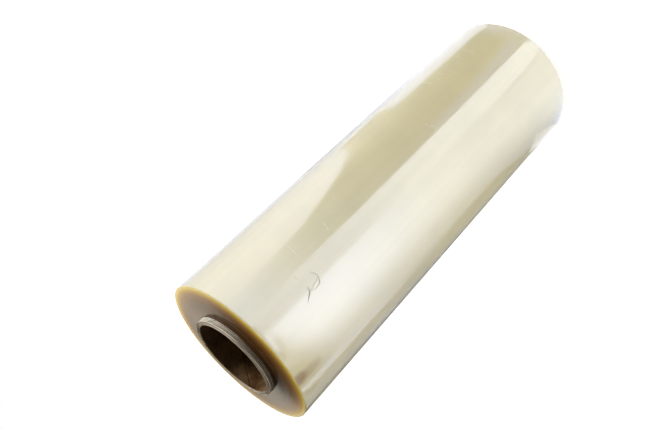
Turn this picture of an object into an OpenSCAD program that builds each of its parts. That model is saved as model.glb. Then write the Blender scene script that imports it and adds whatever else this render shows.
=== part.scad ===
// Roll of clear wrapping film, wound on a spiral-wound cardboard core.
// It stands on one end of the core. +Z runs along the roll's axis, and the
// origin is the centre of the core's lower end.

/* [Core] */
// Inside diameter of the core
core_bore = 76.2; // [60:0.1:90]
// Wall of the core
core_wall = 4.4; // [2.2:0.1:8]
// Length of core beyond the film's rim, at each end
core_overhang = 7; // [5:0.5:20]
// Thickness of one ply of core board
ply = 0.55; // [0.3:0.05:0.9]
// Width and depth of the glue line between two plies, on the cut ends
glue_line = 0.12; // [0.05:0.01:0.2]
// Gap that a ply leaves where the edges of its turns meet
seam_gap = 0.8; // [0.4:0.1:1.5]
// Rise of a ply's seam in one turn
seam_lead = 165; // [100:5:300]
// Direction in which the bore's seam leaves the upper end
bore_seam_angle = 139; // [0:1:359]
// Direction in which the outer seam leaves the upper end
outer_seam_angle = 330; // [0:1:359]

/* [Film] */
// Width of the film
film_width = 430; // [200:5:600]
// Outside diameter of the wound film
film_diameter = 151; // [110:1:220]
// How far the innermost turns have slid upwards past the outermost one
turn_slip = 1.8; // [0:0.1:4]
// Radial width of a band of turns
band = 1.5; // [1.2:0.1:5]
// Unevenness of the bands' edges
band_play = 0.08; // [0:0.01:0.2]
// Chamfer where the film's outer face meets the cut edges
rim_chamfer = 0.4; // [0.1:0.1:0.8]

/* [Hidden] */

bore_r = core_bore / 2;
core_r = bore_r + core_wall;
core_length = film_width + 2 * core_overhang;
film_r = film_diameter / 2;

plies = max(2, round(core_wall / ply));
ply_t = core_wall / plies;
bands = max(1, round((film_r - core_r) / band));
band_w = (film_r - core_r) / bands;

seam_steps = 48;   // stations along one turn of a seam
seam_reach = 1;    // how far a seam's cutter stands out of the wall it cuts
band_turn = 137;   // degrees from one band to the next in its uneven edge

module core() {
    color("#9d9180") difference() {
        rotate_extrude($fn = 180) polygon(core_section());
        seam(bore_r - seam_reach, bore_r + ply_t, bore_seam_angle);
        seam(core_r - ply_t, core_r + seam_reach, outer_seam_angle);
    }
}

// The wall's section, with a fine groove at each glue line of the cut ends,
// apart from the first and last, which the open joints run into.
function core_section() = concat(
    [[bore_r, 0]],
    glue_grooves([2 : 1 : plies - 2], 0, 1),
    [[core_r, 0], [core_r, core_length]],
    glue_grooves([plies - 2 : -1 : 2], core_length, -1),
    [[bore_r, core_length]]
);

// Three points for each glue line, in the order that the outline meets them.
function glue_grooves(lines, z, inward) = [
    for (i = lines, side = [-1, 0, 1])
        [bore_r + i * ply_t + inward * side * glue_line / 2,
         z + inward * (1 - abs(side)) * glue_line]
];

// Cutter for the open joint of one ply: a square strip that climbs as a
// right-handed helix, and runs past both ends of the core.
module seam(inner_r, outer_r, top_angle) {
    spare = seam_lead / seam_steps;
    turns = (core_length + 2 * spare) / seam_lead;
    last = ceil(turns * seam_steps);
    rise = seam_gap / cos(seam_climb(inner_r)) / 2;
    corners = [[inner_r, -rise], [outer_r, -rise], [outer_r, rise], [inner_r, rise]];
    points = [
        for (i = [0 : last], c = corners)
            let (z = core_length + spare - i * seam_lead / seam_steps,
                 a = top_angle + (z - core_length) * 360 / seam_lead)
                [c.x * cos(a), c.x * sin(a), z + c.y]
    ];
    sides = [
        for (i = [0 : last - 1], k = [0 : 3])
            let (a = 4 * i + k, b = 4 * i + (k + 1) % 4)
                [a, a + 4, b + 4, b]
    ];
    caps = [[0, 1, 2, 3], [for (k = [3 : -1 : 0]) 4 * last + k]];
    polyhedron(points, concat(sides, caps));
}

// Angle between a seam and the direction round the core.
function seam_climb(r) = atan(seam_lead / (2 * PI * r));

module film_roll() {
    color("#e4dfc8") rotate_extrude($fn = 360) polygon(film_section());
}

// The wound film's section. Each turn is as wide as the next, so what it
// stands out by at one end it lies back by at the other.
function film_section() = concat(
    [for (i = [0 : bands - 1]) turn_edge(i, core_overhang)],
    [[film_r - rim_chamfer, core_overhang], [film_r, core_overhang + rim_chamfer]],
    [[film_r, core_overhang + film_width - rim_chamfer],
     [film_r - rim_chamfer, core_overhang + film_width]],
    [for (i = [bands - 1 : -1 : 0]) turn_edge(i, core_overhang + film_width)]
);

function turn_edge(i, rim_z) = [
    core_r + i * band_w,
    rim_z + turn_slip * (1 - i / bands) + band_play * sin(band_turn * (bands - i))
];

core();
film_roll();
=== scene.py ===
"""A roll of clear wrapping film on a spiral-wound cardboard core, standing on one end.

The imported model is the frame, and two finer meshes take the place of its solids.
The core shows its plies at the cut ends and a spiral seam in each wall.
The wound film has the telescoped edges of its turns, a soft rim, creases in its
outer turn, and a free end that lies on the side away from the camera.
Angles on the roll, called turn here, run from -Y, which faces the camera, towards +X.
"""
import math

import bpy
import numpy as np
from mathutils import Matrix, Vector


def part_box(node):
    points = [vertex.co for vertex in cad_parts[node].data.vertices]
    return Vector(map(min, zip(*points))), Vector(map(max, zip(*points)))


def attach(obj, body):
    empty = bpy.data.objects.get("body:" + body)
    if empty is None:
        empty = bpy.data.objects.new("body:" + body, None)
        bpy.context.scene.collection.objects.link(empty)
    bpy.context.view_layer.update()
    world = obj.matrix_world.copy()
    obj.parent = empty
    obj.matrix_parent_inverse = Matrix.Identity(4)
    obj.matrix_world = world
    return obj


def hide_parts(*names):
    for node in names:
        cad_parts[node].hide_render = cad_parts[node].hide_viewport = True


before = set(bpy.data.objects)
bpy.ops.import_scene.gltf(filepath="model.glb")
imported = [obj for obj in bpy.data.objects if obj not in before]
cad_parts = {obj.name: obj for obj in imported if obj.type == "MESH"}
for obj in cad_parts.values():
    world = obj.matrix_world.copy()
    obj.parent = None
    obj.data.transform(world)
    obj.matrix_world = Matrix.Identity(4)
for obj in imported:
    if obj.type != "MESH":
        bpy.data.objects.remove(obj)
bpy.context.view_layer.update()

# Sizes, in metres, from the frame where it has them
MM = 0.001
CORE_LOW, CORE_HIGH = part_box("core")
CORE_R = CORE_HIGH.x
BORE_R = 38.1 * MM
FILM_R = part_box("film_roll")[1].x
OVERHANG = 7 * MM
RIM_LOW = CORE_LOW.z + OVERHANG
RIM_HIGH = CORE_HIGH.z - OVERHANG
TURN_SLIP = 1.8 * MM
SKIN_R = FILM_R - 0.12 * MM  # the outer turn, with room outside it for folds and the free end

# The core's winding and its cut ends
PLIES = 8
PLY = (CORE_R - BORE_R) / PLIES
PLY_GROOVE = 0.3 * MM
EDGE_ROUND = 0.6 * MM
CUT_WAVE = 0.012 * MM  # how far each of three waves lifts a ring of the cut end
CUT_SUNK = 0.04 * MM  # keeps those waves within the core's length
SEAM_WIDTH = 0.8 * MM
SEAM_DEPTH = 0.45 * MM
SEAM_LEAD = 165 * MM
BORE_SEAM = math.radians(229)  # the turn at which each seam meets the upper end
OUTER_SEAM = math.radians(60)
BORE_SPREAD = 0.10 * MM  # width that the first ply's rows take up on the floor of each seam
OUTER_SPREAD = 0.04 * MM
KNIFE_LINES = 5  # rings that the cutting knife left round each overhanging end
KNIFE_STEP = 1.35 * MM
KNIFE_SECTION = ((-0.42, 0.0), (-0.2, 1.0), (0.2, 1.0), (0.42, 0.0))  # offset in mm, share of depth
KNIFE_SHIFT = 9000  # radians a metre by which the deep places of the rings move round
CORE_COLUMNS = 200
CORE_ROWS = 120

# The wound film
TURNS = 480  # columns round the roll
END_RINGS = 60
SIDE_ROWS = 40
RIM_ROWS = 18  # closer rows near the upper rim, where the outer turn is dented
RIM_STEPS = 3  # rows in the rounding of each rim
DENTED = 32 * MM
RIM_ROUND = 0.4 * MM
SUNK = 0.02 * MM  # how far a piece reaches into what it lies on

# Camera, fitted to the photograph's outline, rims and core
FRAME_W = 667
FOCAL_PX = 721.2
SENSOR = 36.0
CAMERA_AT = Vector((0, -0.6049, RIM_HIGH + 0.1666))
CAMERA_RIGHT = Vector((-0.71374, -0.30692, -0.62958))
CAMERA_UP = Vector((0.69928, -0.36327, -0.61566))
CAMERA_BACK = Vector((-0.03975, -0.87968, 0.47390))


def make_camera():
    data = bpy.data.cameras.new("camera")
    data.sensor_width = SENSOR
    data.lens = FOCAL_PX / FRAME_W * SENSOR
    data.clip_start = 0.01
    data.clip_end = 50
    camera = bpy.data.objects.new("camera", data)
    bpy.context.scene.collection.objects.link(camera)
    turned = Matrix((CAMERA_RIGHT, CAMERA_UP, CAMERA_BACK)).transposed()
    camera.matrix_world = Matrix.Translation(CAMERA_AT) @ turned.to_4x4()
    bpy.context.scene.camera = camera


# Node helpers

class Graph:
    """A node tree with short calls for the nodes that the materials use."""

    def __init__(self, tree):
        self.tree = tree
        tree.nodes.clear()

    def node(self, kind, **settings):
        made = self.tree.nodes.new(kind)
        for name, value in settings.items():
            setattr(made, name, value)
        return made

    def put(self, socket, value):
        if isinstance(value, bpy.types.NodeSocket):
            self.tree.links.new(value, socket)
        elif value is not None:
            socket.default_value = value

    def math(self, operation, first, second=None):
        made = self.node("ShaderNodeMath", operation=operation)
        for socket, value in zip(made.inputs, (first, second)):
            self.put(socket, value)
        return made.outputs[0]

    def spread(self, value, low, high, to_low=0.0, to_high=1.0, smooth=True):
        """The value taken from the range low..high to to_low..to_high, and held at its ends."""
        made = self.node("ShaderNodeMapRange")
        made.interpolation_type = "SMOOTHSTEP" if smooth else "LINEAR"
        for socket, number in zip(made.inputs, (value, low, high, to_low, to_high)):
            self.put(socket, number)
        return made.outputs[0]

    def noise(self, vector, scale, detail=2.0, roughness=0.5):
        made = self.node("ShaderNodeTexNoise")
        self.put(made.inputs["Vector"], vector)
        self.put(made.inputs["Scale"], scale)
        self.put(made.inputs["Detail"], detail)
        self.put(made.inputs["Roughness"], roughness)
        return made.outputs["Fac"]

    def stretched(self, vector, scale):
        made = self.node("ShaderNodeMapping")
        self.put(made.inputs["Vector"], vector)
        made.inputs["Scale"].default_value = scale
        return made.outputs[0]

    def mix(self, factor, first, second, blend="MIX"):
        made = self.node("ShaderNodeMix", data_type="RGBA", blend_type=blend)
        self.put(made.inputs["Factor"], factor)
        self.put(made.inputs["A"], colour(first))
        self.put(made.inputs["B"], colour(second))
        return made.outputs["Result"]

    def ramp(self, value, stops):
        made = self.node("ShaderNodeValToRGB")
        self.put(made.inputs[0], value)
        elements = made.color_ramp.elements
        while len(elements) < len(stops):
            elements.new(0.5)
        for element, (place, shade) in zip(elements, stops):
            element.position = place
            element.color = colour(shade)
        return made.outputs[0]

    def bump(self, height, distance, strength=1.0, normal=None):
        made = self.node("ShaderNodeBump")
        self.put(made.inputs["Height"], height)
        self.put(made.inputs["Distance"], distance)
        self.put(made.inputs["Strength"], strength)
        self.put(made.inputs["Normal"], normal)
        return made.outputs[0]

    def place(self):
        """Position in the object's own frame."""
        return self.node("ShaderNodeTexCoord").outputs["Object"]

    def parts(self, where):
        """The x, y and z of a position, and its distance from the z axis."""
        split = self.node("ShaderNodeSeparateXYZ")
        self.put(split.inputs[0], where)
        x, y, z = split.outputs
        square = self.math("ADD", self.math("MULTIPLY", x, x), self.math("MULTIPLY", y, y))
        return x, y, z, self.math("SQRT", square)

    def seen(self):
        """1 for a ray from the camera, a mirrored one or one let through, else 0."""
        path = self.node("ShaderNodeLightPath")
        either = self.math("MAXIMUM", path.outputs["Is Camera Ray"], path.outputs["Is Glossy Ray"])
        return self.math("MAXIMUM", either, path.outputs["Is Transmission Ray"])


def colour(value):
    """A three-part colour gets its alpha, and anything else passes unchanged."""
    if isinstance(value, (tuple, list)) and len(value) == 3:
        return (*value, 1.0)
    return value


def material(name):
    """A new material with its node graph and its one surface shader."""
    made = bpy.data.materials.new(name)
    made.use_nodes = True
    graph = Graph(made.node_tree)
    shader = graph.node("ShaderNodeBsdfPrincipled")
    out = graph.node("ShaderNodeOutputMaterial")
    graph.tree.links.new(shader.outputs[0], out.inputs[0])
    return made, graph, shader


# Mesh helpers

def on_side(radius, turn, height):
    """The point at a radius, turn and height."""
    return radius * math.sin(turn), -radius * math.cos(turn), height


def closed_grid(rows, columns):
    """Faces between rows of points, where rows and columns both close into rings."""
    faces = []
    for row in range(rows):
        above = (row + 1) % rows
        for column in range(columns):
            right = (column + 1) % columns
            faces.append((row * columns + column, row * columns + right,
                          above * columns + right, above * columns + column))
    return faces


def mesh_object(name, points, faces, smooth=True):
    mesh = bpy.data.meshes.new(name)
    mesh.from_pydata([tuple(p) for p in points], [], faces)
    mesh.validate()
    mesh.update()
    if smooth:
        mesh.polygons.foreach_set("use_smooth", [True] * len(mesh.polygons))
    made = bpy.data.objects.new(name, mesh)
    bpy.context.scene.collection.objects.link(made)
    return made


# Materials

FILM_STRAW = (0.55, 0.485, 0.27)
FILM_OLIVE = (0.50, 0.445, 0.255)
# Darker ovals multiplied into the film's colour near the upper rim.
RIM_DARK_OVALS = (  # turn in degrees, then distance below the rim, width, height in mm, and depth of tone
    (-40, 4, 6.5, 10, 0.90), (-41, 15, 5.5, 16, 0.42), (-55.5, 10, 4.0, 9, 0.30),
    (-53, 3, 5.0, 4, 0.30), (-20, 2, 4.5, 5, 0.20),
)
RIM_OVAL_TINT = (0.62, 0.50, 0.40)
BORE_LINER = ((0.040, 0.016, 0.004), (0.13, 0.080, 0.038))  # the darkest and the palest of each
CORE_WRAP = ((0.56, 0.49, 0.38), (0.93, 0.91, 0.80))
# the cut board, its darker end painted shade in the grooves between plies
CUT_BOARD_AND_GROOVE_SHADE = ((0.20, 0.15, 0.10), (0.62, 0.54, 0.42))
# painted shade for the sunk seams and the knife's rings
GROOVE_PAINTED_SHADE = (0.030, 0.018, 0.008)
# the folds' dark colour is painted shade, for the darker surroundings that their sides mirror
FOLD_PAINTED_SHADE = ((0.20, 0.18, 0.10), (0.34, 0.31, 0.19))
NICK_SHADES = ((0.52, 0.49, 0.36), (0.74, 0.71, 0.58))
FLECK_SHADES = ((0.36, 0.32, 0.17), (0.52, 0.47, 0.27))


def with_dark_oval(g, where, mottle, shade, turn, below, width, tall, depth):
    """The shade with one darker oval in it, ragged at its edge."""
    squash = width / tall
    spot = g.node("ShaderNodeVectorMath", operation="DISTANCE")
    g.put(spot.inputs[0], g.stretched(where, (1, 1, squash)))
    g.put(spot.inputs[1], on_side(FILM_R, math.radians(turn), (RIM_HIGH - below * MM) * squash))
    ragged = g.math("ADD", spot.outputs["Value"], g.math("MULTIPLY", mottle, width * 0.5 * MM))
    oval = g.spread(ragged, width * 1.45 * MM, width * 0.65 * MM, 0.0, depth)
    return g.mix(oval, shade, RIM_OVAL_TINT, "MULTIPLY")


def film_side_material():
    """Glossy straw film with faint streaks along the roll, hoops round it and a few darker ovals near
    the upper rim.
    """
    made, g, shader = material("wound_film_side")
    where = g.place()
    streaks = g.noise(g.stretched(where, (90, 90, 1.5)), 1.0, 3.0, 0.6)
    hoops = g.noise(g.stretched(where, (2, 2, 55)), 1.0)
    clouds = g.noise(where, 9.0, 3.0, 0.55)
    mottle = g.noise(where, 260.0, 2.0, 0.6)
    tone = g.math("ADD", g.math("MULTIPLY", streaks, 0.35), g.math("MULTIPLY", clouds, 0.65))
    shade = g.mix(g.spread(tone, 0.35, 0.65), FILM_OLIVE, FILM_STRAW)
    for dark_oval in RIM_DARK_OVALS:
        shade = with_dark_oval(g, where, mottle, shade, *dark_oval)
    g.put(shader.inputs["Base Color"], shade)
    g.put(shader.inputs["Roughness"], g.spread(clouds, 0.3, 0.7, 0.12, 0.16))
    ripple = g.bump(streaks, 0.02 * MM)
    g.put(shader.inputs["Normal"], g.bump(hoops, 0.02 * MM, normal=ripple))
    shader.inputs["IOR"].default_value = 2.1
    shader.inputs["Coat Weight"].default_value = 1.0
    shader.inputs["Coat Roughness"].default_value = 0.06
    return made


def film_end_material():
    """The edges of the turns, with a painted glow: gold at the rim, where light comes through the
    outer turns, and dark near the core.
    """
    made, g, shader = material("wound_film_end")
    radius = g.parts(g.place())[-1]
    depth = g.spread(radius, CORE_R, FILM_R, smooth=False)
    rings = g.noise(g.stretched(radius, (900, 0, 0)), 1.0, 4.0, 0.7)
    # Painted glow: gold at the rim, as light coming through the outer turns, fading to dark brown
    # towards the core.
    shade = g.ramp(depth, [
        (0.0, (0.060, 0.022, 0.003)),
        (0.42, (0.075, 0.028, 0.004)),
        (0.60, (0.17, 0.068, 0.008)),
        (0.75, (0.30, 0.145, 0.022)),
        (0.87, (0.62, 0.38, 0.03)),
        (0.93, (0.86, 0.63, 0.12)),
        (1.0, (0.93, 0.83, 0.34)),
    ])
    ringed = g.mix(0.55, shade, g.spread(rings, 0.25, 0.75, 0.45, 1.4), "MULTIPLY")
    g.put(shader.inputs["Base Color"], ringed)
    shader.inputs["Roughness"].default_value = 0.14
    shader.inputs["IOR"].default_value = 1.2
    g.put(shader.inputs["Normal"], g.bump(rings, 0.01 * MM, 0.5))
    return made


def core_material():
    """Dark liner in the bore, pale wrap outside, and plies at the cut ends, with painted shade in the
    seams, the knife's rings and the grooves of the cut ends.
    """
    made, g, shader = material("core_board")
    where = g.place()
    z, radius = g.parts(where)[2:]
    fibres = g.noise(where, 900.0, 3.0, 0.65)
    strands = g.noise(g.stretched(where, (45, 45, 1500)), 1.0, 3.0, 0.6)
    patches = g.noise(where, 60.0, 3.0, 0.6)
    grain = g.math("ADD", g.math("MULTIPLY", strands, 0.6), g.math("MULTIPLY", fibres, 0.4))
    liner = g.mix(g.spread(patches, 0.3, 0.7), *BORE_LINER)
    wrap = g.mix(g.spread(grain, 0.35, 0.65), *CORE_WRAP)
    outside = g.spread(radius, BORE_R + MM, CORE_R - MM)
    shade = g.mix(outside, liner, wrap)
    # Painted shade: near black wherever the wall is sunk, in the seams and the knife's rings.
    depth = g.math("MINIMUM", g.math("SUBTRACT", radius, BORE_R), g.math("SUBTRACT", CORE_R, radius))
    seam = g.spread(depth, 0.05 * MM, 0.3 * MM)
    shade = g.mix(seam, shade, GROOVE_PAINTED_SHADE)
    middle = (CORE_LOW.z + CORE_HIGH.z) / 2
    half = (CORE_HIGH.z - CORE_LOW.z) / 2
    reach = g.math("ABSOLUTE", g.math("SUBTRACT", z, middle))
    cut = g.spread(reach, half - EDGE_ROUND, half - EDGE_ROUND * 0.6)
    # Painted shade: the cut end turns darker the further below its top a point lies, in the grooves
    # between plies and on the rounded edges.
    raised = g.spread(reach, half - PLY_GROOVE, half)
    shade = g.mix(cut, shade, g.mix(raised, *CUT_BOARD_AND_GROOVE_SHADE))
    flecked = g.mix(0.5, shade, g.spread(fibres, 0.25, 0.75, 0.7, 1.25), "MULTIPLY")
    g.put(shader.inputs["Base Color"], flecked)
    shader.inputs["Roughness"].default_value = 0.85
    g.put(shader.inputs["Normal"], g.bump(grain, 0.12 * MM, 0.6))
    shader.inputs["IOR"].default_value = 1.2
    return made


# The core

NO_SEAM, BORE_SIDE, OUTER_SIDE = range(3)


def seam_columns():
    """Directions of the core's columns at its upper end, and the seam in which each lies."""
    bore_gap = SEAM_WIDTH / BORE_R
    outer_gap = SEAM_WIDTH / CORE_R
    plain = np.linspace(0, 2 * math.pi, CORE_COLUMNS, endpoint=False)
    columns = [(a, NO_SEAM) for a in plain
               if min(abs(a - BORE_SEAM), abs(a - OUTER_SEAM)) > 1.5 * bore_gap]
    for middle, gap, seam in ((BORE_SEAM, bore_gap, BORE_SIDE), (OUTER_SEAM, outer_gap, OUTER_SIDE)):
        columns += [(middle - 0.7 * gap, NO_SEAM), (middle - 0.4 * gap, seam),
                    (middle + 0.4 * gap, seam), (middle + 0.7 * gap, NO_SEAM)]
    columns.sort()
    return np.array([a for a, seam in columns]), np.array([seam for a, seam in columns])


def in_seam(depth, spread):
    """How deep in the wall a point goes that lies in a seam, from its depth elsewhere."""
    if depth < PLY and not math.isclose(depth, PLY):
        return SEAM_DEPTH + depth / PLY * spread
    return depth


def cut_profile(draw):
    """Radius and drop of the points across a cut end, from the outer wall to the bore."""
    section = ((0.0, 1.0), (0.16, 0.35), (0.38, 0.0), (0.62, 0.0), (0.84, 0.35))
    points = []
    for ply in range(PLIES):
        low = draw.uniform(0, 0.07) * MM
        for share, drop in section:
            points.append((CORE_R - (ply + share) * PLY, low + drop * PLY_GROOVE))
    points.append((BORE_R, PLY_GROOVE))
    radius, drop = np.array(points).T
    edge = np.minimum(CORE_R - radius, radius - BORE_R) / (1.1 * EDGE_ROUND)
    rounded = EDGE_ROUND * (1 - np.sqrt(np.clip(1 - (1 - np.clip(edge, 0, 1)) ** 2, 0, 1)))
    return radius, np.maximum(drop, rounded)


def knife_rows(draw, end):
    """Heights and depths of the rows that draw the knife's rings near one end of the core."""
    inward = -1 if end == CORE_HIGH.z else 1
    rows = []
    for line in range(KNIFE_LINES):
        middle = (1.5 + line + draw.uniform(-0.15, 0.15)) * KNIFE_STEP
        deep = draw.uniform(0.30, 0.42) * MM
        for offset, share in KNIFE_SECTION:
            rows.append((end + (middle + offset * MM) * inward, deep * share))
    return rows


def core_tube():
    """The spiral-wound core: plies that show at its cut ends, and a seam in each wall."""
    draw = np.random.default_rng(23)
    turn, seam = seam_columns()
    rings = []

    def ring(radius, height, groove=0.0):
        """Adds a row of points that winds with the seams."""
        wall = radius - groove * (0.7 + 0.3 * np.sin(5 * turn + height * KNIFE_SHIFT))
        if radius < (CORE_R + BORE_R) / 2:
            wall[seam == BORE_SIDE] = BORE_R + in_seam(radius - BORE_R, BORE_SPREAD)
        else:
            wall[seam == OUTER_SIDE] = CORE_R - in_seam(CORE_R - radius, OUTER_SPREAD)
        swept = turn - (CORE_HIGH.z - height) * 2 * math.pi / SEAM_LEAD
        level = np.broadcast_to(height, len(turn))
        rings.append(np.stack([wall * np.sin(swept), -wall * np.cos(swept), level], -1))

    def cut_end(level, inward):
        """Adds a cut end's rows: outside to bore at the upper end, bore to outside at the lower."""
        radius, drop = cut_profile(draw)
        phases = draw.uniform(0, 2 * math.pi, (len(radius), 3))
        steps = list(zip(radius, drop, phases))
        for reach, low, phase in steps[::-inward]:
            wave = sum(np.sin(k * turn + p) for k, p in zip((3, 7, 16), phase)) * CUT_WAVE
            ring(reach, level + inward * np.clip(low + wave + CUT_SUNK, 0, None))

    low = CORE_LOW.z + EDGE_ROUND + 0.1 * MM
    high = CORE_HIGH.z - EDGE_ROUND - 0.1 * MM
    wall_rows = knife_rows(draw, CORE_LOW.z) + knife_rows(draw, CORE_HIGH.z)
    plain = np.linspace(low, high, CORE_ROWS)
    clear = (KNIFE_LINES + 2) * KNIFE_STEP
    wall_rows += [(z, 0.0) for z in plain
                  if CORE_LOW.z + clear < z < CORE_HIGH.z - clear or z in (plain[0], plain[-1])]
    for height, groove in sorted(wall_rows):
        ring(CORE_R, height, groove)
    cut_end(CORE_HIGH.z, -1)
    for height in np.linspace(high, low, CORE_ROWS):
        ring(BORE_R, height)
    cut_end(CORE_LOW.z, 1)
    made = mesh_object("core_tube", np.concatenate(rings), closed_grid(len(rings), len(turn)))
    made.data.materials.append(core_material())
    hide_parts("core")
    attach(made, "root")


# The wound film

def edge_of_turns(seed):
    """How far each ring of turns on a cut end stands out, in metres."""
    draw = np.random.default_rng(seed)
    window = 9  # rings over which the slow part of the height is evened out
    steps = draw.normal(0, 0.004, END_RINGS)
    wander = np.convolve(draw.normal(0, 1, END_RINGS + window - 1), np.ones(window) / window, "valid")
    height = steps + wander * 0.03
    fade = np.clip((END_RINGS - 1 - np.arange(END_RINGS)) / 4, 0, 1)
    return height * fade * MM


DENTS = (  # turn in degrees, distance below the rim, half width round, half height, depth, in mm
    (-12, 5, 6.0, 3.0, 0.06), (63, 4, 7.0, 4.0, 0.06), (150, 6, 8.0, 5.0, 0.12),
    (-120, 5, 9.0, 4.0, 0.10),
)
PULLS = (  # turn and half width in degrees, then length and depth in mm: the turn's edge drawn in
    (-40, 4.3, 26, 0.26), (-20, 3.2, 9, 0.12), (-54.5, 3.4, 17, 0.14), (-27.2, 2.9, 14, -0.11),
    (118, 5.0, 20, 0.14), (-104, 4.0, 14, 0.10),
)


def skin_radius(turn, height):
    """The outer turn's radius: dents, a pulled edge and faint waves near the upper rim."""
    dip = np.zeros(np.shape(turn))
    for middle, below, width, tall, depth in DENTS:
        away = np.angle(np.exp(1j * (turn - math.radians(middle)))) * FILM_R / (width * MM)
        level = (RIM_HIGH - below * MM - height) / (tall * MM)
        dip = dip + depth * MM * np.exp(-0.5 * (away ** 2 + level ** 2))
    for middle, half, length, depth in PULLS:
        away = np.angle(np.exp(1j * (turn - math.radians(middle)))) / math.radians(half)
        along = np.clip(1 - (RIM_HIGH - height) / (length * MM), 0, 1)
        dip = dip + depth * MM * along ** 2 * np.exp(-away ** 4)
    near_rim = np.clip((height - (RIM_HIGH - 0.09)) / 0.07, 0, 1)
    waves = np.sin(37 * turn + 1.0) + 0.7 * np.sin(53 * turn + 2.5) + 0.5 * np.sin(23 * turn)
    return SKIN_R - dip + 0.006 * MM * waves * near_rim


def end_rows(turn, end, rim, seed):
    """Radius and height of the rows over one cut end, from the core out and round the rim."""
    inner = CORE_R - SUNK
    outer = SKIN_R - RIM_ROUND
    rows = []
    for share, ripple in zip(np.linspace(0, 1, END_RINGS), edge_of_turns(seed)):
        radius = inner + (outer - inner) * share
        rows.append((np.full(TURNS, radius), rim + TURN_SLIP * (1 - share) + end * ripple))
    for step in range(1, RIM_STEPS + 1):
        angle = step / (RIM_STEPS + 1) * math.pi / 2
        radius = skin_radius(turn, rim) - RIM_ROUND * (1 - math.sin(angle))
        rows.append((radius, rim - end * RIM_ROUND * (1 - math.cos(angle))))
    return rows


def wound_film():
    """The wound film as one closed mesh, with the edges of its turns in their own material."""
    turn = np.linspace(0, 2 * math.pi, TURNS, endpoint=False)
    levels = list(np.linspace(RIM_LOW + RIM_ROUND, RIM_HIGH - DENTED, SIDE_ROWS))
    levels += list(np.linspace(RIM_HIGH - DENTED, RIM_HIGH - RIM_ROUND, RIM_ROWS + 1)[1:])
    rows = end_rows(turn, -1, RIM_LOW, 5)
    rows += [(skin_radius(turn, level), level) for level in levels]
    rows += end_rows(turn, 1, RIM_HIGH, 11)[::-1]
    points = []
    for radius, height in rows:
        points += zip(radius * np.sin(turn), -radius * np.cos(turn), np.full(TURNS, height))
    made = mesh_object("wound_film", points, closed_grid(len(rows), TURNS))
    made.data.materials.append(film_side_material())
    made.data.materials.append(film_end_material())
    edge = END_RINGS + 1  # the end's material takes in the first step of the rounding
    on_end = [row < edge or row >= len(rows) - edge - 1 for row in range(len(rows))]
    made.data.polygons.foreach_set("material_index", np.repeat(on_end, TURNS).astype(np.int32))
    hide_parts("film_roll")
    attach(made, "root")


# Marks in the outer turn

FOLDS = (  # turn in degrees and height in mm along each fold, then its width and rise in mm
    (((-8.8, 390.2), (-6.9, 386.0), (-5.3, 382.4), (-3.0, 382.2), (-1.5, 381.7)), 0.65, 0.08),
    (((-8.6, 389.4), (-6.1, 385.4), (-4.2, 381.2), (-2.6, 380.6), (-1.3, 380.4)), 0.5, 0.07),
    (((-4.6, 381.6), (-6.2, 377.4), (-5.9, 374.1), (-5.7, 371.0), (-3.0, 368.6),
      (-0.8, 367.6), (1.5, 368.6), (3.4, 370.2)), 0.6, 0.08),
    (((-4.2, 380.9), (-4.7, 377.6), (-3.4, 375.9), (-3.3, 371.7), (-1.3, 369.2)), 0.45, 0.06),
    (((8.4, 382.4), (5.0, 382.1)), 0.3, 0.04),
)
NICKS = (  # the same values for each nick
    (((19.3, 327.5), (18.2, 328.3), (16.6, 329.3)), 0.35, 0.05),
    (((15.2, 330.0), (13.8, 330.6)), 0.45, 0.05),
    (((26.7, 364.7), (23.4, 365.2), (19.7, 365.4), (16.0, 366.1)), 0.28, 0.05),
    (((49.1, 58.2), (43.3, 61.6), (38.5, 63.4), (29.6, 65.8)), 0.22, 0.05),
    (((42.2, 59.7), (37.5, 61.4), (33.3, 62.1)), 0.22, 0.05),
    (((47.0, 74.5), (39.9, 76.7)), 0.16, 0.04),
    (((42.2, 117.4), (38.1, 117.6)), 0.2, 0.04),
    (((51.3, 126.0), (45.5, 126.3), (39.3, 126.7)), 0.25, 0.05),
    (((44.4, 99.6), (35.5, 101.7), (28.4, 100.4)), 0.14, 0.03),
    (((40.0, 84.0), (33.0, 85.5)), 0.14, 0.03),
    (((46.0, 108.0), (38.0, 109.2)), 0.14, 0.03),
    (((19.2, 178.5), (17.6, 179.4)), 0.4, 0.05),
    (((16.0, 180.1), (14.6, 176.4), (11.5, 176.8)), 0.4, 0.06),
)
FLECKS = (  # turn in degrees, height in mm, radius in mm
    (-33.4, 86.5, 0.9), (-26.6, 128.2, 0.55), (-7.7, 370.6, 0.35), (7.8, 368.0, 0.3),
    (-26.2, 356.2, 0.35), (7.3, 257.8, 0.45),
)
CREASE_STEP = 0.5 * MM
CREASE_SECTION = (  # shares of the width and of the rise
    (-0.5, -0.03), (-0.22, 0.7), (0.0, 1.0), (0.22, 0.7), (0.5, -0.03),
)
FLECK_SIDES = 10
FLECK_DOME = ((1.0, -0.01), (0.7, 0.035), (0.3, 0.06))  # share of the radius, and height in mm


def mark_material(name, shades, grain, roughness):
    """Film that is dull where it was folded or scuffed, or has dust under it; the folds' dark colour
    is painted shade.
    """
    made, g, shader = material(name)
    g.put(shader.inputs["Base Color"], g.mix(g.noise(g.place(), grain), *shades))
    shader.inputs["Roughness"].default_value = roughness
    return made


def crease_line(path):
    """Close points along a crease, each as the distance round the roll and the height."""
    spots = [(SKIN_R * math.radians(turn), height * MM) for turn, height in path]
    line = []
    for start, end in zip(spots, spots[1:]):
        steps = max(2, round(math.dist(start, end) / CREASE_STEP))
        line += [(start[0] + (end[0] - start[0]) * i / steps,
                  start[1] + (end[1] - start[1]) * i / steps) for i in range(steps)]
    return line + [spots[-1]]


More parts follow.
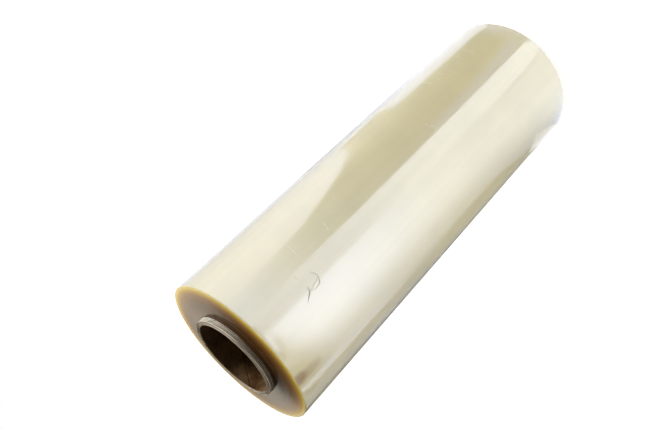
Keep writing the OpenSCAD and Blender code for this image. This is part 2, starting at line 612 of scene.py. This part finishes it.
def creases(name, paths, shades):
    """Low ridges where the outer turn is folded or scratched, as one mesh."""
    points = []
    faces = []
    across = len(CREASE_SECTION)
    for path, width, rise in paths:
        line = crease_line(path)
        first = len(points)
        last = len(line) - 1
        for i, (along, height) in enumerate(line):
            before = line[max(0, i - 1)]
            after = line[min(last, i + 1)]
            span = math.dist(before, after)
            aside = ((before[1] - after[1]) / span, (after[0] - before[0]) / span)
            taper = math.sin(math.pi * (i + 0.5) / (last + 1)) ** 0.5
            wave = 1 + 0.3 * math.sin(1.7 * i)
            for share, lift in CREASE_SECTION:
                side = share * width * MM * taper * wave
                radius = SKIN_R + lift * rise * MM * taper
                turn = (along + aside[0] * side) / SKIN_R
                points.append(on_side(radius, turn, height + aside[1] * side))
        for a in range(first, first + last * across, across):
            for k in range(a, a + across - 1):
                faces.append((k, k + across, k + across + 1, k + 1))
            faces.append((a, a + across - 1, a + 2 * across - 1, a + across))
        faces.append(tuple(range(first, first + across)))
        faces.append(tuple(reversed(range(first + last * across, len(points)))))
    made = mesh_object(name, points, faces)
    made.data.materials.append(mark_material(name, shades, 700.0, 0.3))
    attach(made, "root")


def flecks():
    """Specks of dust under the outer turn, as low domes."""
    points = []
    faces = []
    for turn, height, size in FLECKS:
        first = len(points)
        for share, lift in FLECK_DOME:
            for k in range(FLECK_SIDES):
                angle = 2 * math.pi * k / FLECK_SIDES
                reach = share * size * MM * (1 + 0.25 * math.sin(2 * angle + turn))
                beside = math.radians(turn) + reach * math.cos(angle) / SKIN_R
                above = height * MM + reach * math.sin(angle)
                points.append(on_side(SKIN_R + lift * MM, beside, above))
        for ring in range(first, first + 2 * FLECK_SIDES, FLECK_SIDES):
            for k in range(FLECK_SIDES):
                a = ring + k
                b = ring + (k + 1) % FLECK_SIDES
                faces.append((a, b, b + FLECK_SIDES, a + FLECK_SIDES))
        faces.append(tuple(range(first + 2 * FLECK_SIDES, first + 3 * FLECK_SIDES)))
        faces.append(tuple(reversed(range(first, first + FLECK_SIDES))))
    made = mesh_object("flecks", points, faces)
    made.data.materials.append(mark_material("fleck", FLECK_SHADES, 900.0, 0.35))
    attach(made, "root")


TAIL_START = math.radians(-176)
TAIL_END = math.radians(-148)  # the free edge
TAIL_LIFT = 0.09 * MM
TAIL_INSET = MM  # how far the free end stops short of each rim
TAIL_COLUMNS = 40
TAIL_ROWS = 90


def tail_faces():
    """Faces of a closed sheet: two layers of points, and strips that join their edges."""
    across = TAIL_COLUMNS + 1
    layer = across * (TAIL_ROWS + 1)
    faces = []
    for row in range(TAIL_ROWS):
        for a in range(row * across, row * across + TAIL_COLUMNS):
            b = a + layer
            faces.append((a, a + across, a + across + 1, a + 1))
            faces.append((b, b + 1, b + across + 1, b + across))
    start_edge = list(range(0, layer, across))[::-1]
    free_edge = list(range(TAIL_COLUMNS, layer, across))
    foot = list(range(across))
    head = list(range(layer - across, layer))[::-1]
    for line in (start_edge, free_edge, foot, head):
        for a, b in zip(line, line[1:]):
            faces.append((a, b, b + layer, a + layer))
    return faces


def free_end():
    """The last stretch of film: it lies over the roll and stops at a slightly wavy edge."""
    phases = np.random.default_rng(7).uniform(0, 2 * math.pi, 4)
    low = RIM_LOW + TAIL_INSET
    high = RIM_HIGH - TAIL_INSET
    points = []
    for level in (0, 1):
        for row in range(TAIL_ROWS + 1):
            up = row / TAIL_ROWS
            wave = sum(math.sin(k * math.pi * up + p) / k for k, p in zip((1, 3, 7, 15), phases))
            edge = TAIL_END + 0.008 * wave
            for column in range(TAIL_COLUMNS + 1):
                share = column / TAIL_COLUMNS
                turn = TAIL_START + (edge - TAIL_START) * share
                lift = TAIL_LIFT * share ** 2 + 0.01 * MM * math.sin(9 * up + 5 * share) * share
                radius = SKIN_R - SUNK + (lift + SUNK) * level
                points.append(on_side(radius, turn, low + (high - low) * up))
    made = mesh_object("free_end", points, tail_faces())
    made.data.materials.append(film_side_material())
    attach(made, "root")


# Studio

LEVEL_STEP = 0.5 * MM  # height between floor panels, where a higher one hides those under it
FLOOR_HALF = 12
SHADOW_REACH = (0.10, 0.60)  # distances over which the floor turns from shaded to full white
SHADOW_WHITE = 0.86
WORLD_LIGHT = 0.06  # share of the world's white that lights the roll

# Tints of the panels, each near its axis and far from it
COOL = ((0.93, 1.0, 1.14), (0.91, 1.0, 1.30))
PALE = ((0.93, 1.0, 1.40), (0.93, 1.0, 1.40))
BLUE = ((0.95, 1.0, 1.02), (0.86, 1.0, 1.34))
SOFT = ((0.95, 1.0, 1.16), (0.95, 1.0, 1.14))
WARM = ((1.02, 1.0, 0.84), (0.96, 1.0, 1.12))
SAND = ((1.06, 1.0, 0.82), (1.06, 1.0, 0.82))
PLAIN = ((1.0, 1.0, 1.0), (1.0, 1.0, 1.0))
CREAM = ((1.0, 0.90, 0.73), (1.0, 0.90, 0.73))


def glow_material(name, tints, near, far, reach, side=None, feather=None, fade=None, rise=None):
    """Light graded by the distance from the panel's own axis and the direction round it.

    reach is two distances, in metres. Between them the strength goes from near to far, and
    the colour from the first of tints to the second.
    side is (start, end, share), the first two in degrees: the strength is multiplied by
    share at start and by 1 at end.
    rise is (low, high, share): the same for two heights, in metres.
    feather is two directions and fade two distances: the panel is clear at the first of
    them and solid at the second.
    """
    made = bpy.data.materials.new(name)
    made.use_nodes = True
    g = Graph(made.node_tree)
    x, y, z, away = g.parts(g.place())
    turned = g.math("ARCTAN2", x, g.math("MULTIPLY", y, -1.0))
    strength = g.spread(away, *reach, near, far)
    if side:
        start, end, share = side
        shade = g.spread(turned, math.radians(start), math.radians(end), share, 1.0)
        strength = g.math("MULTIPLY", strength, shade)
    if rise:
        low, high, share = rise
        strength = g.math("MULTIPLY", strength, g.spread(z, low, high, share, 1.0))
    glow = g.node("ShaderNodeEmission")
    g.put(glow.inputs["Color"], g.mix(g.spread(away, *reach), *tints))
    g.put(glow.inputs["Strength"], strength)
    shader = glow
    solid = None
    if feather:
        solid = g.spread(turned, math.radians(feather[0]), math.radians(feather[1]))
    elif fade:
        solid = g.spread(away, *fade)
    if solid is not None:
        clear = g.node("ShaderNodeBsdfTransparent")
        shader = g.node("ShaderNodeMixShader")
        g.put(shader.inputs[0], solid)
        g.tree.links.new(clear.outputs[0], shader.inputs[1])
        g.tree.links.new(glow.outputs[0], shader.inputs[2])
    out = g.node("ShaderNodeOutputMaterial")
    g.tree.links.new(shader.outputs[0], out.inputs[0])
    return made


def panel(name, corners, tints, near, far=None, reach=(0.2, 1.2), **grading):
    """A flat panel, bright or dark, that only shows in reflections."""
    made = mesh_object(name, corners, [tuple(range(len(corners)))], False)
    end = near if far is None else far
    made.data.materials.append(glow_material(name, tints, near, end, reach, **grading))
    made.visible_camera = False
    made.visible_diffuse = False
    made.visible_shadow = False
    made.visible_transmission = False
    return made


def floor_panel(name, outline, level, tints, near, far=None, reach=(0.2, 1.2), **grading):
    """A panel that lies on the floor, one of several at rising levels."""
    corners = [(x, y, level * LEVEL_STEP) for x, y in outline]
    return panel(name, corners, tints, near, far, reach, **grading)


def fan(start, end, inner, outer, steps=16):
    """Outline of the part of a ring between two directions and two distances."""
    angles = [math.radians(start + (end - start) * i / steps) for i in range(steps + 1)]
    ring = [(inner, a) for a in angles] + [(outer, a) for a in reversed(angles)]
    return [(r * math.sin(a), -r * math.cos(a)) for r, a in ring]


def area_lamp(name, place, target, width, height, power, shade=(1, 1, 1)):
    """A lamp that lights the roll but isn't mirrored in it."""
    data = bpy.data.lights.new(name, "AREA")
    data.shape = "RECTANGLE"
    data.size = width
    data.size_y = height
    data.energy = power
    data.color = shade
    lamp = bpy.data.objects.new(name, data)
    bpy.context.scene.collection.objects.link(lamp)
    lamp.location = place
    aim = Vector(target) - Vector(place)
    lamp.rotation_euler = aim.to_track_quat("-Z", "Y").to_euler()
    lamp.visible_camera = False
    lamp.visible_glossy = False


def white_stage_material():
    """White to the camera and in reflections, with the shadow kept beside the object."""
    made = bpy.data.materials.new("white_floor")
    made.use_nodes = True
    g = Graph(made.node_tree)
    white = g.spread(g.parts(g.place())[-1], *SHADOW_REACH, SHADOW_WHITE, 1.0)
    paint = g.node("ShaderNodeBsdfDiffuse")
    paint.inputs["Color"].default_value = (0.8, 0.8, 0.8, 1)
    glow = g.node("ShaderNodeEmission")
    g.put(glow.inputs["Strength"], g.math("MULTIPLY", g.seen(), white))
    both = g.node("ShaderNodeAddShader")
    out = g.node("ShaderNodeOutputMaterial")
    g.tree.links.new(paint.outputs[0], both.inputs[0])
    g.tree.links.new(glow.outputs[0], both.inputs[1])
    g.tree.links.new(both.outputs[0], out.inputs[0])
    return made


def make_floor():
    corners = [(x * FLOOR_HALF, y * FLOOR_HALF, 0) for x, y in ((-1, -1), (1, -1), (1, 1), (-1, 1))]
    floor = mesh_object("floor", corners, [(0, 1, 2, 3)], False)
    floor.data.materials.append(white_stage_material())


def make_world():
    """White where it is seen, and dim as a light."""
    world = bpy.data.worlds.new("studio")
    bpy.context.scene.world = world
    world.use_nodes = True
    g = Graph(world.node_tree)
    strength = g.spread(g.seen(), 0, 1, WORLD_LIGHT, 1.0, smooth=False)
    back = g.node("ShaderNodeBackground")
    back.inputs["Color"].default_value = (1, 1, 1, 1)
    g.put(back.inputs["Strength"], strength)
    out = g.node("ShaderNodeOutputWorld")
    g.tree.links.new(back.outputs[0], out.inputs[0])


def make_lamps():
    area_lamp("key", (1.5, 0.1, 1.10), (0, 0, 0.38), 1.2, 0.5, 38)
    area_lamp("fill", (-0.7, -1.2, 0.13), (0, 0, 0.2), 1.2, 0.27, 17)
    area_lamp("top", (-0.6, -0.5, 1.3), (0, 0, 0.4), 0.8, 0.8, 0.9, shade=(1.0, 0.72, 0.42))


def floor_panels():
    """Panels that the film's side mirrors, as a studio's reflectors and flags would lie round it, and
    two dim ones that are painted shadow: the roll's own shadow on the floor.
    """
    floor_panel("left_floor", fan(-180, -10, 0.06, 3.0, 40), 1, WARM, 0.44, reach=(0.15, 0.8),
                side=(-160, -134, 0.30))
    # Painted shadow: a dim panel where the roll's own shadow would lie on the floor behind it, on the
    # left.
    left_painted_shadow = [(-0.078, 0.03), (-0.09, 0.063), (-0.127, 0.127), (-0.172, 0.246),
                  (-0.254, 0.544), (-0.38, 0.85), (0.0, 0.9), (0.0, 0.078)]
    floor_panel("left_painted_shadow", left_painted_shadow, 2, WARM, 0.04, 0.16, (0.2, 0.95))
    floor_panel("left_far", fan(-180, -142, 0.86, 3.0, 8), 3, SAND, 0.28, side=(-162, -144, 0.6))
    floor_panel("front_floor", fan(-10, 180, 0.06, 3.0, 40), 1, WARM, 0.50, reach=(0.15, 0.8),
                side=(95, 50, 1.75))
    main = [(0.0, -0.076), (0.0, -2.6), (-2.6, -2.6), (-2.6, 0.855), (-0.54, 0.125),
            (-0.246, 0.014), (-0.162, 0.022), (-0.112, 0.021), (-0.083, 0.025)]
    floor_panel("main_reflector", main, 3, COOL, 1.88, 2.85, (0.08, 0.86), side=(-97, -38, 0.35))
    floor_panel("light_line", fan(-109, -99, 0.42, 1.32, 6), 4, COOL, 0.60, 1.0, (0.42, 0.85))
    floor_panel("foot", fan(-110, -84, 0.0755, 0.125, 8), 4, PLAIN, 1.02)
    strip = [(-0.001, -0.077), (0.0094, -0.0765), (0.0179, -0.0844), (0.0444, -0.158),
             (0.077, -0.2495), (0.181, -0.525), (0.361, -0.9415), (0.873, -2.273),
             (-0.60, -2.3), (-0.15, -0.6)]
    floor_panel("front_strip", strip, 5, COOL, 2.38, 1.78, (0.15, 0.9), feather=(-13, -4))
    floor_panel("shoulder", fan(10, 34, 0.09, 0.6), 2, PALE, 0.75, feather=(34, 22))
    floor_panel("near_foot", fan(6, 53, 0.0755, 0.095, 8), 3, SOFT, 0.95, 0.65, (0.08, 0.095))
    near_right = [(0.0634, -0.0532), (0.0917, -0.041), (0.147, -0.027), (0.272, 0.013),
                  (0.251, 0.122), (0.349, 0.205), (0.30, 0.45), (0.1, 0.5), (0.03, 0.1)]
    floor_panel("right_reflector", near_right, 3, SOFT, 1.36, side=(162, 100, 0.42))
    far_right = [(0.349, 0.205), (0.372, 0.204), (0.438, 0.023), (0.492, -0.087),
                 (0.528, -0.1645), (0.573, -0.237), (0.643, -0.382), (0.724, -0.489),
                 (1.128, -0.774), (2.6, -1.7), (2.6, 2.2), (0.2, 2.2), (0.1, 0.5), (0.30, 0.45)]
    floor_panel("outer_reflector", far_right, 3, SOFT, 1.99, side=(138, 70, 0.47))
    # Painted shadow: a dim panel where the roll's own shadow would lie on the floor behind it, on the
    # right.
    right_painted_shadow = [(0.076, 0.01), (0.088, 0.03), (0.105, 0.08), (0.125, 0.16), (0.17, 0.32),
                   (0.30, 0.62), (0.36, 0.9), (0.0, 0.9), (0.0, 0.078)]
    floor_panel("right_painted_shadow", right_painted_shadow, 4, SOFT, 0.52)
    floor_panel("far_reflector", fan(19, 64, 0.30, 2.5), 2, BLUE, 0.48, 1.75, (0.3, 1.4))
    flag = floor_panel("corner_flag", fan(-100, 0, 1.15, 3.2, 24), 6, PALE, 0.22, fade=(1.28, 1.64))
    flag.location = (0.3, -0.1, 0)


def back_panels():
    """The wall that the upper end mirrors, with a slanted top, and the dark behind it."""
    wall = [(-0.7, 2.2, 0.2), (3.5, 2.2, 0.2), (3.5, 2.2, 1.6), (0.9, 2.2, 1.6), (-0.7, 2.2, 1.0)]
    panel("back_wall", wall, CREAM, 1.95, rise=(0.6, 1.0, 0.2))
    dark = [(-3.5, 2.5, 0.05), (3.5, 2.5, 0.05), (3.5, 2.5, 5.0), (-3.5, 2.5, 5.0)]
    panel("dark_backdrop", dark, PLAIN, 0.02)


make_camera()
make_world()
make_floor()
make_lamps()
floor_panels()
back_panels()
core_tube()
wound_film()
# The folds' dark colour is painted shade.
creases("folds", FOLDS, FOLD_PAINTED_SHADE)
creases("nicks", NICKS, NICK_SHADES)
flecks()
free_end()

bpy.context.scene.view_settings.view_transform = "Standard"
